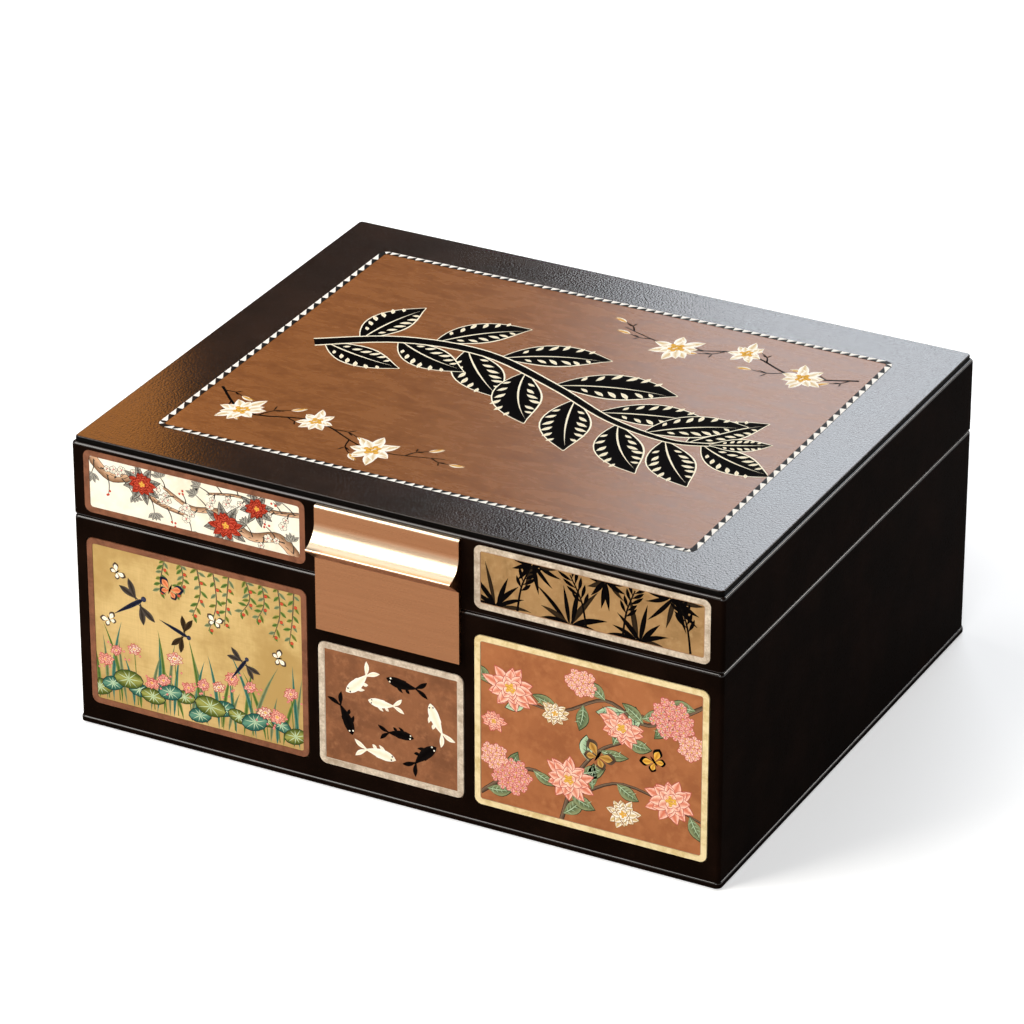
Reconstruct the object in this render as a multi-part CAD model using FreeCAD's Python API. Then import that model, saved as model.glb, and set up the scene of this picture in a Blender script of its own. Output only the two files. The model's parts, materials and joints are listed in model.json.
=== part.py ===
# Keepsake box with a hinged lid and three drawers, in millimetres.
# X points right, Y to the back and Z up. The origin is on the table, under the middle of the body.
import FreeCAD, Part
import math
import os

V = FreeCAD.Vector

# Body
BODY_WIDTH = 280.0
BODY_DEPTH = 230.0
BASE_HEIGHT = 92.4  # table to the top edge of the base
SEAM_GAP = 0.4  # between the base and the closed lid
LID_FRAME_HEIGHT = 31.4
CORNER_RADIUS = 1.8
EDGE_ROUND = 1.2
LEATHER = 0.8
BASE_BOARD = 9.7
LID_BOARD = 8.2
FELT = 0.8
FELT_INSET = 5.0
BOTTOM_BOARD = 2.4
BOTTOM_LIP = 0.5  # the bottom board stands out past the body
BOTTOM_ROUND = 0.8

# Lid top
TOP_INSET = 1.0  # the top stands back from the lid frame
TOP_FLANGE = 1.4  # part of the top board that lies on the frame
TOP_PLUG = 3.0  # part of the top board that drops inside the frame
TOP_ROUND = 0.7
BANDING_MARGIN_X = 24.1  # body side to banding
BANDING_MARGIN_Y = 23.3
BANDING_WIDTH = 2.4
BANDING_RADIUS = 4.0
BANDING_PROUD = 0.1

# Framed panels on the front
PANEL_MARGIN = 5.4  # body side to the nearest panel
PANEL_SPACING = 4.9  # side panel to centre panel
PANEL_RADIUS = 3.0
BORDER_WIDTH = 2.4
BORDER_INNER_RADIUS = 1.2
PICTURE = 0.6
PANEL_FIT = 0.05
LID_PANEL_RISE = 2.4  # lid bottom to the lid panels
LID_PANEL_HEIGHT = 26.9

# Drawers
DRAWER_RISE = 10.5  # table to the drawer fronts
SIDE_DRAWER_HEIGHT = 73.4
CENTRE_DRAWER_HEIGHT = 53.5
CENTRE_DRAWER_WIDTH = 63.0
DRAWER_GAP = 0.4  # round each drawer front
DRAWER_FRONT = 8.2
DRAWER_LENGTH = 163.2  # of the box behind the front
DRAWER_WALL = 4.0
DRAWER_BOTTOM = 2.5
DRAWER_DROP = 4.0  # the walls end below the top of the front
DRAWER_LINING = 0.8
DRAWER_SIDE_CLEARANCE = 0.5
DRAWER_TRAVEL = 130.0
RUNNER_WIDTH = 8.0
RUNNER_CLEARANCE = 0.25  # under the drawer
RUNNER_BACK_GAP = 4.0
DRAWER_LIFT = 0.6  # drawer bottom above the bottom of its front
PARTITION = 8.0
DECK = 3.0
DECK_CLEARANCE = 0.7  # drawer openings to the deck
SHELF = 3.0
SHELF_CLEARANCE = 1.6
STOP_WIDTH = 16.0
STOP_DEPTH = 6.0
STOP_CATCH = 5.0  # how far a stop reaches below the drawer's top edge
STOP_CLEARANCE = 0.3

# Push latches behind the drawers
LATCH_HEIGHT = 40.0  # table to the plunger's axis
LATCH_SIZE = 14.0
LATCH_FLANGE_WIDTH = 26.0
LATCH_FLANGE = 2.0
PLUNGER_RADIUS = 2.5
PLUNGER_FIT = 0.1
PLUNGER_LENGTH = 22.5
PLUNGER_TIP_RADIUS = 4.0
PLUNGER_TIP = 2.0
PLUNGER_SHOWS = 5.0  # closed, from the housing to the tip
PLUNGER_CLEARANCE = 0.3

# Top tray
COLLAR = 3.5
COLLAR_RISE = 12.0  # above the bottom of the lid
COLLAR_ROUND = 1.0
TRAY_LINING = 1.0
DIVIDER = 3.0
DIVIDER_HEIGHT = 14.0
DIVIDER_ROUND = 0.8
TRAY_CENTRE_WIDTH = 89.0  # between the two long dividers
TRAY_CENTRE_CROSS = 34.0  # middle to each cross divider
ROLL_PITCH = 18.3
ROLL_GAP = 0.6
ROLL_SIDE_HEIGHT = 9.0
ROLL_CROWN = 7.8
SOFT_CLEARANCE = 0.3

# Lid inside
LID_LINING = 0.6
MIRROR_WIDTH = 190.0
MIRROR_DEPTH = 140.0
MIRROR = 1.6
MIRROR_RADIUS = 3.0
MIRROR_FRAME_WIDTH = 6.0
MIRROR_FRAME = 2.2

# Clasp
CLASP_WIDTH = 62.0
CLASP_PLATE = 2.2
CLASP_TOP_DROP = 1.0  # lid frame top to clasp top
CLASP_REACH = 53.0  # height of the whole clasp
CLASP_TOP_ROUND = 1.2
CLASP_CLEARANCE = 0.35  # plate to the base front
LIP_START = 7.0  # clasp top to the start of the flare
LIP_DROP = 8.4  # height of the flare
LIP_OUT = 6.8  # how far the flare stands out of the plate
LIP_TIP = 1.2
LIP_UNDERSIDE = 5.6  # height of the sloping underside
BOSS_RADIUS = 2.5
BOSS_LENGTH = 8.0
BOSS_SPACING = 36.0
BOSS_DROP = 11.5  # lid frame top to the boss axis
HOLE_FIT = 0.2
SCREW_RADIUS = 1.4
SCREW_LENGTH = 6.0
SCREW_HEAD_RADIUS = 2.8
SCREW_HEAD = 1.6
MAGNET_RADIUS = 5.0
MAGNET = 3.0
MAGNET_SPACING = 36.0
MAGNET_DROP = 12.5  # base top to the magnets' axis

# Hinges
HINGE_SPACING = 170.0
HINGE_LENGTH = 40.0
LEAF = 1.2
LEAF_HEIGHT = 18.0
BARREL_RADIUS = 2.4
BARREL_GAP = 0.4  # barrel to the back of the box
KNUCKLE_LENGTH = 13.6  # middle knuckle
KNUCKLE_GAP = 0.3
PIN_RADIUS = 0.9
PIN_FIT = 0.06
TURN_CLEARANCE = 0.35
LEAF_SEAM = 0.3  # pivot height to the edge of each leaf
HEEL = 1.7  # thickness of the stop heels
HEEL_ANGLE = 49.5  # each heel's face, from the level
LEAF_SCREW_RADIUS = 1.2
LEAF_SCREW_LENGTH = 8.0
LEAF_SCREW_HEAD = 2.2
LEAF_SCREW_SPACING = 26.0
LEAF_SCREW_HEIGHT = 11.0  # pivot height to each screw
LEAF_SCREW_FIT = 0.05

SAME = 1e-6  # heights closer than this are the same

# Planes and edges that several pieces share
half_w = BODY_WIDTH / 2
half_d = BODY_DEPTH / 2
front = -half_d
floor_z = FELT + BOTTOM_BOARD
lid_z = BASE_HEIGHT + SEAM_GAP
frame_top = lid_z + LID_FRAME_HEIGHT
top_z = frame_top + TOP_FLANGE + LEATHER
board_top = BASE_HEIGHT - LEATHER
inner_w = half_w - LEATHER - BASE_BOARD
inner_d = half_d - LEATHER - BASE_BOARD
lid_inner_w = half_w - LEATHER - LID_BOARD
lid_inner_d = half_d - LEATHER - LID_BOARD
side_x = CENTRE_DRAWER_WIDTH / 2 + PANEL_SPACING
outer_x = half_w - PANEL_MARGIN
partition_x = (CENTRE_DRAWER_WIDTH / 2 + side_x) / 2
deck_z = DRAWER_RISE + SIDE_DRAWER_HEIGHT + DRAWER_GAP + DECK_CLEARANCE
deck_top = deck_z + DECK
shelf_z = DRAWER_RISE + CENTRE_DRAWER_HEIGHT + DRAWER_GAP + SHELF_CLEARANCE
panel_back = front + LEATHER
drawer_z = DRAWER_RISE + DRAWER_LIFT
drawer_y = panel_back + DRAWER_FRONT
drawer_end = drawer_y + DRAWER_LENGTH
pivot_y = half_d + BARREL_GAP + BARREL_RADIUS
pivot_z = BASE_HEIGHT + SEAM_GAP / 2

# Each drawer's front, and the bay behind it, as left and right edges and height
DRAWERS = {
    "left": (-outer_x, -side_x, SIDE_DRAWER_HEIGHT),
    "centre": (-CENTRE_DRAWER_WIDTH / 2, CENTRE_DRAWER_WIDTH / 2, CENTRE_DRAWER_HEIGHT),
    "right": (side_x, outer_x, SIDE_DRAWER_HEIGHT),
}
BAYS = {
    "left": (-inner_w, -partition_x - PARTITION / 2, deck_z),
    "centre": (-partition_x + PARTITION / 2, partition_x - PARTITION / 2, shelf_z),
    "right": (partition_x + PARTITION / 2, inner_w, deck_z),
}
LID_PANELS = {"left": (-outer_x, -side_x), "right": (side_x, outer_x)}


def save(name, *solids):
    shape = solids[0] if len(solids) == 1 else Part.makeCompound(list(solids))
    shape.exportStep("parts/" + name + ".step")


def block(x0, x1, y0, y1, z0, z1):
    return Part.makeBox(x1 - x0, y1 - y0, z1 - z0, V(x0, y0, z0))


def rounded_wire(a0, a1, b0, b1, radius, place):
    """A rectangle with round corners; place turns its two coordinates into a point."""
    corners = [(a1, b0, -90), (a1, b1, 0), (a0, b1, 90), (a0, b0, 180)]
    middle_a, middle_b = (a0 + a1) / 2, (b0 + b1) / 2
    arcs = []
    for a, b, start in corners:
        ca = a - radius if a > middle_a else a + radius
        cb = b - radius if b > middle_b else b + radius
        points = []
        for turn in (0, 45, 90):
            angle = math.radians(start + turn)
            points.append(place(ca + radius * math.cos(angle), cb + radius * math.sin(angle)))
        arcs.append(points)
    edges = []
    for i, points in enumerate(arcs):
        edges.append(Part.Arc(*points).toShape())
        edges.append(Part.LineSegment(points[2], arcs[(i + 1) % 4][0]).toShape())
    return Part.Wire(edges)


def rounded_block(half_x, half_y, z0, z1, radius):
    """A block about the middle of the body with its upright edges rounded."""
    wire = rounded_wire(-half_x, half_x, -half_y, half_y, radius, lambda a, b: V(a, b, z0))
    return Part.Face(wire).extrude(V(0, 0, z1 - z0))


def panel(x0, x1, z0, z1, radius, y0, y1):
    """A flat panel that faces the front, with round corners."""
    wire = rounded_wire(x0, x1, z0, z1, radius, lambda a, b: V(a, y0, b))
    return Part.Face(wire).extrude(V(0, y1 - y0, 0))


def rod_y(x, y0, y1, z, radius):
    return Part.makeCylinder(radius, y1 - y0, V(x, y0, z), V(0, 1, 0))


def rod_x(x0, x1, y, z, radius):
    return Part.makeCylinder(radius, x1 - x0, V(x0, y, z), V(1, 0, 0))


def lies_at(edge, z):
    box = edge.BoundBox
    return abs(box.ZMin - z) < SAME and abs(box.ZMax - z) < SAME


def round_edges_at(shape, z, radius):
    """Rounds the edges that lie at one height."""
    return shape.makeFillet(radius, [edge for edge in shape.Edges if lies_at(edge, z)])


def round_long_top_edges(shape, z, radius, along_x):
    """Rounds the two long upper edges of a strip."""
    found = []
    for edge in shape.Edges:
        box = edge.BoundBox
        long_way = box.XLength if along_x else box.YLength
        short_way = box.YLength if along_x else box.XLength
        if lies_at(edge, z) and long_way > short_way:
            found.append(edge)
    return shape.makeFillet(radius, found)


def cut_all(shape, tools):
    for tool in tools:
        shape = shape.cut(tool)
    return shape


def extrude_profile(edges, x0, x1):
    """A profile across the body, drawn in Y and Z, drawn out along X."""
    return Part.Face(Part.Wire(edges)).extrude(V(x1 - x0, 0, 0))


def line(a, b):
    return Part.LineSegment(a, b).toShape()


# Openings, bores and pockets that are cut through several pieces


def drawer_openings(y0, y1):
    tools = []
    for x0, x1, height in DRAWERS.values():
        g = DRAWER_GAP
        z0, z1 = DRAWER_RISE - g, DRAWER_RISE + height + g
        tools.append(panel(x0 - g, x1 + g, z0, z1, PANEL_RADIUS + g, y0, y1))
    return tools


def lid_panel_windows(y0, y1):
    z0 = lid_z + LID_PANEL_RISE
    tools = []
    for x0, x1 in LID_PANELS.values():
        tools.append(panel(x0, x1, z0, z0 + LID_PANEL_HEIGHT, PANEL_RADIUS, y0, y1))
    return tools


def leaf_screw_places(up):
    z = pivot_z + up * LEAF_SCREW_HEIGHT
    places = []
    for hinge in (-1, 1):
        for screw in (-1, 1):
            places.append((hinge * HINGE_SPACING / 2 + screw * LEAF_SCREW_SPACING / 2, z))
    return places


def leaf_screw_holes(up):
    back = half_d + LEAF
    depth = LEAF_SCREW_LENGTH + LEAF
    radius = LEAF_SCREW_RADIUS + LEAF_SCREW_FIT
    return [rod_y(x, back - depth, back, z, radius) for x, z in leaf_screw_places(up)]


def boss_holes(radius):
    z = frame_top - BOSS_DROP
    y1 = front + LEATHER + LID_BOARD + LID_LINING
    return [rod_y(s * BOSS_SPACING / 2, front, y1, z, radius) for s in (-1, 1)]


def magnet_discs(radius):
    z = BASE_HEIGHT - MAGNET_DROP
    return [rod_y(s * MAGNET_SPACING / 2, panel_back, panel_back + MAGNET, z, radius) for s in (-1, 1)]


# Base


def underside():
    felt = rounded_block(half_w - FELT_INSET, half_d - FELT_INSET, 0, FELT, CORNER_RADIUS)
    save("underside_felt", felt)
    lip = BOTTOM_LIP
    board = rounded_block(half_w + lip, half_d + lip, FELT, floor_z, CORNER_RADIUS + lip)
    save("bottom_board", round_edges_at(board, floor_z, BOTTOM_ROUND))


def wall_boards(prefix, z0, z1, inner_x, inner_y, front_tools, back_tools):
    """Front and back boards run the full width, and the side boards stand between them."""
    outer_y = half_d - LEATHER
    core = rounded_block(half_w - LEATHER, outer_y, z0, z1, CORNER_RADIUS - LEATHER)
    full = half_w
    front_board = core.common(block(-full, full, -outer_y, -inner_y, z0, z1))
    back_board = core.common(block(-full, full, inner_y, outer_y, z0, z1))
    save(prefix + "_front_board", cut_all(front_board, front_tools))
    save(prefix + "_back_board", cut_all(back_board, back_tools))
    outer_x_face = half_w - LEATHER
    save(prefix + "_left_board", block(-outer_x_face, -inner_x, -inner_y, inner_y, z0, z1))
    save(prefix + "_right_board", block(inner_x, outer_x_face, -inner_y, inner_y, z0, z1))


def base_body():
    front_tools = drawer_openings(front, -inner_d) + magnet_discs(MAGNET_RADIUS)
    wall_boards("base", floor_z, board_top, inner_w, inner_d, front_tools, leaf_screw_holes(-1))
    skin = rounded_block(half_w, half_d, floor_z, BASE_HEIGHT, CORNER_RADIUS)
    skin = round_edges_at(skin, BASE_HEIGHT, EDGE_ROUND)
    t = LEATHER
    core = rounded_block(half_w - t, half_d - t, floor_z, board_top, CORNER_RADIUS - t)
    skin = skin.cut(core).cut(block(-inner_w, inner_w, -inner_d, inner_d, floor_z, BASE_HEIGHT))
    save("base_leather", cut_all(skin, drawer_openings(front, panel_back) + leaf_screw_holes(-1)))
    save("clasp_magnets", *magnet_discs(MAGNET_RADIUS))


def inside_boards():
    partitions = []
    for s in (-1, 1):
        x0 = s * partition_x - PARTITION / 2
        partitions.append(block(x0, x0 + PARTITION, -inner_d, inner_d, floor_z, deck_z))
    save("drawer_partitions", *partitions)
    save("deck_board", block(-inner_w, inner_w, -inner_d, inner_d, deck_z, deck_top))
    x0, x1, _ = BAYS["centre"]
    save("centre_shelf", block(x0, x1, -inner_d, inner_d, shelf_z, shelf_z + SHELF))


def drawer_runners():
    strips = []
    top = drawer_z - RUNNER_CLEARANCE
    for x0, x1, _ in BAYS.values():
        for a, b in ((x0, x0 + RUNNER_WIDTH), (x1 - RUNNER_WIDTH, x1)):
            strips.append(block(a, b, -inner_d, inner_d - RUNNER_BACK_GAP, floor_z, top))
    save("drawer_runners", *strips)


def drawer_stops():
    blocks = []
    y1 = drawer_end - DRAWER_WALL - DRAWER_LINING - DRAWER_TRAVEL - STOP_CLEARANCE
    for name, (x0, x1, height) in DRAWERS.items():
        bay_x0, bay_x1, ceiling = BAYS[name]
        x = (bay_x0 + bay_x1) / 2
        z0 = DRAWER_RISE + height - DRAWER_DROP - STOP_CATCH
        blocks.append(block(x - STOP_WIDTH / 2, x + STOP_WIDTH / 2, y1 - STOP_DEPTH, y1, z0, ceiling))
    save("drawer_stops", *blocks)


def latches():
    tip_y = drawer_end + PLUNGER_CLEARANCE
    mouth = tip_y + PLUNGER_SHOWS
    half = LATCH_SIZE / 2
    flange = LATCH_FLANGE_WIDTH / 2
    z = LATCH_HEIGHT
    housings = []
    for name, (bay_x0, bay_x1, _) in BAYS.items():
        x = (bay_x0 + bay_x1) / 2
        body = block(x - half, x + half, mouth, inner_d, z - half, z + half)
        plate = block(x - flange, x + flange, inner_d - LATCH_FLANGE, inner_d, z - half, z + half)
        bore_end = tip_y + PLUNGER_LENGTH + PLUNGER_TIP
        bore = rod_y(x, mouth, bore_end, z, PLUNGER_RADIUS + PLUNGER_FIT)
        housings.append(body.fuse(plate).removeSplitter().cut(bore))
        rod = rod_y(x, tip_y, tip_y + PLUNGER_LENGTH, z, PLUNGER_RADIUS)
        tip = rod_y(x, tip_y, tip_y + PLUNGER_TIP, z, PLUNGER_TIP_RADIUS)
        save("latch_plunger_" + name, rod.fuse(tip))
    save("latch_housings", *housings)


# Drawers


def drawer(name):
    x0, x1, height = DRAWERS[name]
    bay_x0, bay_x1, _ = BAYS[name]
    prefix = "drawer_" + name
    z0, z1 = DRAWER_RISE, DRAWER_RISE + height
    save(prefix + "_front", panel(x0, x1, z0, z1, PANEL_RADIUS, panel_back, drawer_y))
    save_border_and_picture(prefix, x0, x1, z0, z1, PANEL_RADIUS)

    a0, a1 = bay_x0 + DRAWER_SIDE_CLEARANCE, bay_x1 - DRAWER_SIDE_CLEARANCE
    b0, b1 = a0 + DRAWER_WALL, a1 - DRAWER_WALL
    wall_top = z1 - DRAWER_DROP
    floor_top = drawer_z + DRAWER_BOTTOM
    back_y = drawer_end - DRAWER_WALL
    left = block(a0, b0, drawer_y, drawer_end, drawer_z, wall_top)
    right = block(b1, a1, drawer_y, drawer_end, drawer_z, wall_top)
    back = block(b0, b1, back_y, drawer_end, floor_top, wall_top)
    bottom = block(b0, b1, drawer_y, drawer_end, drawer_z, floor_top)
    save(prefix + "_box", left, right, back, bottom)
    t = DRAWER_LINING
    outer = block(b0, b1, drawer_y, back_y, floor_top, wall_top)
    inner = block(b0 + t, b1 - t, drawer_y + t, back_y - t, floor_top + t, wall_top)
    save(prefix + "_lining", outer.cut(inner))


def save_border_and_picture(prefix, x0, x1, z0, z1, radius):
    w = BORDER_WIDTH
    outer = panel(x0, x1, z0, z1, radius, front, panel_back)
    window = panel(x0 + w, x1 - w, z0 + w, z1 - w, BORDER_INNER_RADIUS, front, panel_back)
    save(prefix + "_border", outer.cut(window))
    w = BORDER_WIDTH + PANEL_FIT
    y0 = panel_back - PICTURE
    picture = panel(x0 + w, x1 - w, z0 + w, z1 - w, BORDER_INNER_RADIUS, y0, panel_back)
    save(prefix + "_picture", picture)


# Top tray


def collar():
    z0, z1 = deck_top, lid_z + COLLAR_RISE
    long_rails = []
    side_rails = []
    for s in (-1, 1):
        y0, y1 = sorted((s * inner_d, s * (inner_d - COLLAR)))
        rail = block(-inner_w, inner_w, y0, y1, z0, z1)
        long_rails.append(round_long_top_edges(rail, z1, COLLAR_ROUND, True))
        x0, x1 = sorted((s * inner_w, s * (inner_w - COLLAR)))
        rail = block(x0, x1, -inner_d + COLLAR, inner_d - COLLAR, z0, z1)
        side_rails.append(round_long_top_edges(rail, z1, COLLAR_ROUND, False))
    save("collar_long_rails", *long_rails)
    save("collar_side_rails", *side_rails)


def tray():
    w, d = inner_w - COLLAR, inner_d - COLLAR
    z0 = deck_top + TRAY_LINING
    z1 = z0 + DIVIDER_HEIGHT
    save("tray_lining", block(-w, w, -d, d, deck_top, z0))
    c = TRAY_CENTRE_WIDTH / 2
    dividers = []
    for x in (-c - DIVIDER, c):
        strip = block(x, x + DIVIDER, -d, d, z0, z1)
        dividers.append(round_long_top_edges(strip, z1, DIVIDER_ROUND, False))
    spans = [(-c, c, -TRAY_CENTRE_CROSS), (-c, c, TRAY_CENTRE_CROSS), (c + DIVIDER, w, 0)]
    for x0, x1, y in spans:
        strip = block(x0, x1, y - DIVIDER / 2, y + DIVIDER / 2, z0, z1)
        dividers.append(round_long_top_edges(strip, z1, DIVIDER_ROUND, True))
    save("tray_dividers", *dividers)
    ring_rolls(-w + SOFT_CLEARANCE, -c - DIVIDER - SOFT_CLEARANCE, d, z0 + SOFT_CLEARANCE)


def ring_rolls(x0, x1, half_depth, z0):
    """Padded rolls, side by side from front to back, that hold rings between them."""
    count = int(2 * half_depth // ROLL_PITCH)
    half = (ROLL_PITCH - ROLL_GAP) / 2
    rolls = []
    for i in range(count):
        y = (i - (count - 1) / 2) * ROLL_PITCH
        low_a, low_b = V(x0, y - half, z0), V(x0, y + half, z0)
        top_a, top_b = low_a + V(0, 0, ROLL_SIDE_HEIGHT), low_b + V(0, 0, ROLL_SIDE_HEIGHT)
        crown = V(x0, y, z0 + ROLL_SIDE_HEIGHT + ROLL_CROWN)
        edges = [
            line(low_a, low_b),
            line(low_b, top_b),
            Part.Arc(top_b, crown, top_a).toShape(),
            line(top_a, low_a),
        ]
        rolls.append(extrude_profile(edges, x0, x1))
    save("ring_rolls", *rolls)


# Lid


def lid_body():
    z0, z1 = lid_z + LEATHER, frame_top - LEATHER
    front_tools = boss_holes(BOSS_RADIUS + HOLE_FIT)
    wall_boards("lid", z0, z1, lid_inner_w, lid_inner_d, front_tools, leaf_screw_holes(1))
    skin = rounded_block(half_w, half_d, lid_z, frame_top, CORNER_RADIUS)
    skin = round_edges_at(skin, frame_top, EDGE_ROUND)
    skin = round_edges_at(skin, lid_z, EDGE_ROUND / 2)
    t = LEATHER
    core = rounded_block(half_w - t, half_d - t, z0, z1, CORNER_RADIUS - t)
    w, d = lid_inner_w, lid_inner_d
    skin = skin.cut(core).cut(block(-w, w, -d, d, lid_z, frame_top))
    tools = lid_panel_windows(front, panel_back) + boss_holes(BOSS_RADIUS + HOLE_FIT)
    save("lid_leather", cut_all(skin, tools + leaf_screw_holes(1)))
    for name, (x0, x1) in LID_PANELS.items():
        z0 = lid_z + LID_PANEL_RISE
        save_border_and_picture("lid_" + name, x0, x1, z0, z0 + LID_PANEL_HEIGHT, PANEL_RADIUS)


def banding_outline(inset, z0, z1):
    half_x = half_w - BANDING_MARGIN_X - inset
    half_y = half_d - BANDING_MARGIN_Y - inset
    return rounded_block(half_x, half_y, z0, z1, BANDING_RADIUS - inset)


def lid_top():
    flange_top = frame_top + TOP_FLANGE
    inset = TOP_INSET + LEATHER
    r = CORNER_RADIUS - LEATHER
    flange = rounded_block(half_w - inset, half_d - inset, frame_top, flange_top, r)
    w, d = lid_inner_w, lid_inner_d
    plug = block(-w, w, -d, d, frame_top - TOP_PLUG, frame_top)
    save("lid_top_board", flange.fuse(plug).removeSplitter())
    inset = TOP_INSET
    skin = rounded_block(half_w - inset, half_d - inset, frame_top, top_z, r + LEATHER)
    skin = round_edges_at(skin, top_z, TOP_ROUND).cut(flange)
    save("lid_top_leather", skin.cut(banding_outline(0, flange_top, top_z)))
    ring = banding_outline(0, flange_top, top_z + BANDING_PROUD)
    ring = ring.cut(banding_outline(BANDING_WIDTH, flange_top, top_z + BANDING_PROUD))
    save("top_banding", ring)
    save("top_panel", banding_outline(BANDING_WIDTH, flange_top, top_z))


def lid_inside():
    ceiling = frame_top - TOP_PLUG
    t = LID_LINING
    z0 = lid_z + LEATHER
    outer = block(-lid_inner_w, lid_inner_w, -lid_inner_d, lid_inner_d, z0, ceiling)
    w, d = lid_inner_w - t, lid_inner_d - t
    inner = block(-w, w, -d, d, z0, ceiling - t)
    holes = boss_holes(SCREW_HEAD_RADIUS + HOLE_FIT)
    save("lid_lining", cut_all(outer.cut(inner), holes))
    z1 = ceiling - t
    half_x, half_y = MIRROR_WIDTH / 2, MIRROR_DEPTH / 2
    save("lid_mirror", rounded_block(half_x, half_y, z1 - MIRROR, z1, MIRROR_RADIUS))
    w = MIRROR_FRAME_WIDTH
    rim = rounded_block(half_x + w, half_y + w, z1 - MIRROR_FRAME, z1, MIRROR_RADIUS + w)
    rim = round_edges_at(rim, z1 - MIRROR_FRAME, COLLAR_ROUND)
    opening = rounded_block(half_x, half_y, z1 - MIRROR_FRAME, z1, MIRROR_RADIUS)
    save("mirror_frame", rim.cut(opening))


# Clasp


def clasp():
    """One moulded piece: a plate that hangs over the seam, with a flared pull lip."""
    x0 = -CLASP_WIDTH / 2
    top = frame_top - CLASP_TOP_DROP
    bottom = top - CLASP_REACH
    face = front - CLASP_PLATE
    base_face = front - CLASP_CLEARANCE
    r = CLASP_TOP_ROUND
    flare = top - LIP_START
    tip_z = flare - LIP_DROP
    tip_y = face - LIP_OUT

    def at(y, z):
        return V(x0, y, z)

    bulge = (LIP_OUT**2 + LIP_DROP**2) / (2 * LIP_OUT)
    half_turn = math.atan2(LIP_OUT, LIP_DROP)
    mid = at(face - bulge * (1 - math.cos(half_turn)), flare - bulge * math.sin(half_turn))
    half_tip = LIP_TIP / 2
    tip_low = at(tip_y, tip_z - LIP_TIP)
    corner = at(face + r * (1 - math.sqrt(0.5)), top - r * (1 - math.sqrt(0.5)))
    edges = [
        line(at(front, top), at(face + r, top)),
        Part.Arc(at(face + r, top), corner, at(face, top - r)).toShape(),
        line(at(face, top - r), at(face, flare)),
        Part.Arc(at(face, flare), mid, at(tip_y, tip_z)).toShape(),
        Part.Arc(at(tip_y, tip_z), at(tip_y - half_tip, tip_z - half_tip), tip_low).toShape(),
        line(tip_low, at(face, tip_z - LIP_TIP - LIP_UNDERSIDE)),
        line(at(face, tip_z - LIP_TIP - LIP_UNDERSIDE), at(face, bottom)),
        line(at(face, bottom), at(base_face, bottom)),
        line(at(base_face, bottom), at(base_face, lid_z)),
        line(at(base_face, lid_z), at(front, lid_z)),
        line(at(front, lid_z), at(front, top)),
    ]
    piece = extrude_profile(edges, x0, -x0)
    z = frame_top - BOSS_DROP
    screws = []
    for s in (-1, 1):
        x = s * BOSS_SPACING / 2
        piece = piece.fuse(rod_y(x, front, front + BOSS_LENGTH, z, BOSS_RADIUS))
        seat = front + LEATHER + LID_BOARD
        shank = rod_y(x, seat - SCREW_LENGTH, seat, z, SCREW_RADIUS)
        piece = piece.cut(shank)
        head = rod_y(x, seat, seat + SCREW_HEAD, z, SCREW_HEAD_RADIUS)
        screws.append(shank.fuse(head))
    save("clasp", piece)
    save("clasp_screws", *screws)


# Hinges


def sector(x0, x1, inner, outer, from_angle, to_angle):
    """Part of a ring round the hinge axis; angles are from the back, upwards."""

    def at(radius, degrees):
        angle = math.radians(degrees)
        return V(x0, pivot_y + radius * math.cos(angle), pivot_z + radius * math.sin(angle))

    mid = (from_angle + to_angle) / 2
    edges = [
        Part.Arc(at(outer, from_angle), at(outer, mid), at(outer, to_angle)).toShape(),
        line(at(outer, to_angle), at(inner, to_angle)),
        Part.Arc(at(inner, to_angle), at(inner, mid), at(inner, from_angle)).toShape(),
        line(at(inner, from_angle), at(outer, from_angle)),
    ]
    return extrude_profile(edges, x0, x1)


def hinge_leaf(x, up, own, other, bore):
    """A leaf with its knuckles and stop heel; up is 1 for the lid and -1 for the base."""
    half = HINGE_LENGTH / 2
    z0, z1 = sorted((pivot_z + up * LEAF_SEAM, pivot_z + up * LEAF_HEIGHT))
    leaf = block(x - half, x + half, half_d, half_d + LEAF, z0, z1)
    reach = BARREL_RADIUS + TURN_CLEARANCE
    for a, b in other:
        leaf = leaf.cut(rod_x(x + a, x + b, pivot_y, pivot_z, reach))
    a0, a1 = sorted((up * HEEL_ANGLE, up * 90))
    leaf = leaf.fuse(sector(x - half, x + half, reach, reach + HEEL, a0, a1))
    for a, b in own:
        leaf = leaf.fuse(rod_x(x + a, x + b, pivot_y, pivot_z, BARREL_RADIUS))
        leaf = leaf.fuse(sector(x + a, x + b, BARREL_RADIUS / 2, reach, a0, a1))
    leaf = leaf.removeSplitter().cut(rod_x(x - half, x + half, pivot_y, pivot_z, bore))
    for place_x, z in leaf_screw_places(up):
        if abs(place_x - x) < half:
            leaf = leaf.cut(rod_y(place_x, half_d, half_d + LEAF, z, LEAF_SCREW_RADIUS + LEAF_SCREW_FIT))
            leaf = leaf.cut(screw_head(place_x, z, LEAF_SCREW_FIT))
    return leaf


def screw_head(x, z, more):
    y = half_d + LEAF
    depth = LEAF_SCREW_HEAD - LEAF_SCREW_RADIUS
    return Part.makeCone(
        LEAF_SCREW_RADIUS + more, LEAF_SCREW_HEAD + more, depth, V(x, y - depth, z), V(0, 1, 0)
    )


def leaf_screws(up):
    screws = []
    tip = half_d + LEAF - LEAF_SCREW_LENGTH
    neck = half_d + LEAF - (LEAF_SCREW_HEAD - LEAF_SCREW_RADIUS)
    for x, z in leaf_screw_places(up):
        shank = rod_y(x, tip, neck, z, LEAF_SCREW_RADIUS)
        screws.append(shank.fuse(screw_head(x, z, 0)))
    return screws


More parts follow.
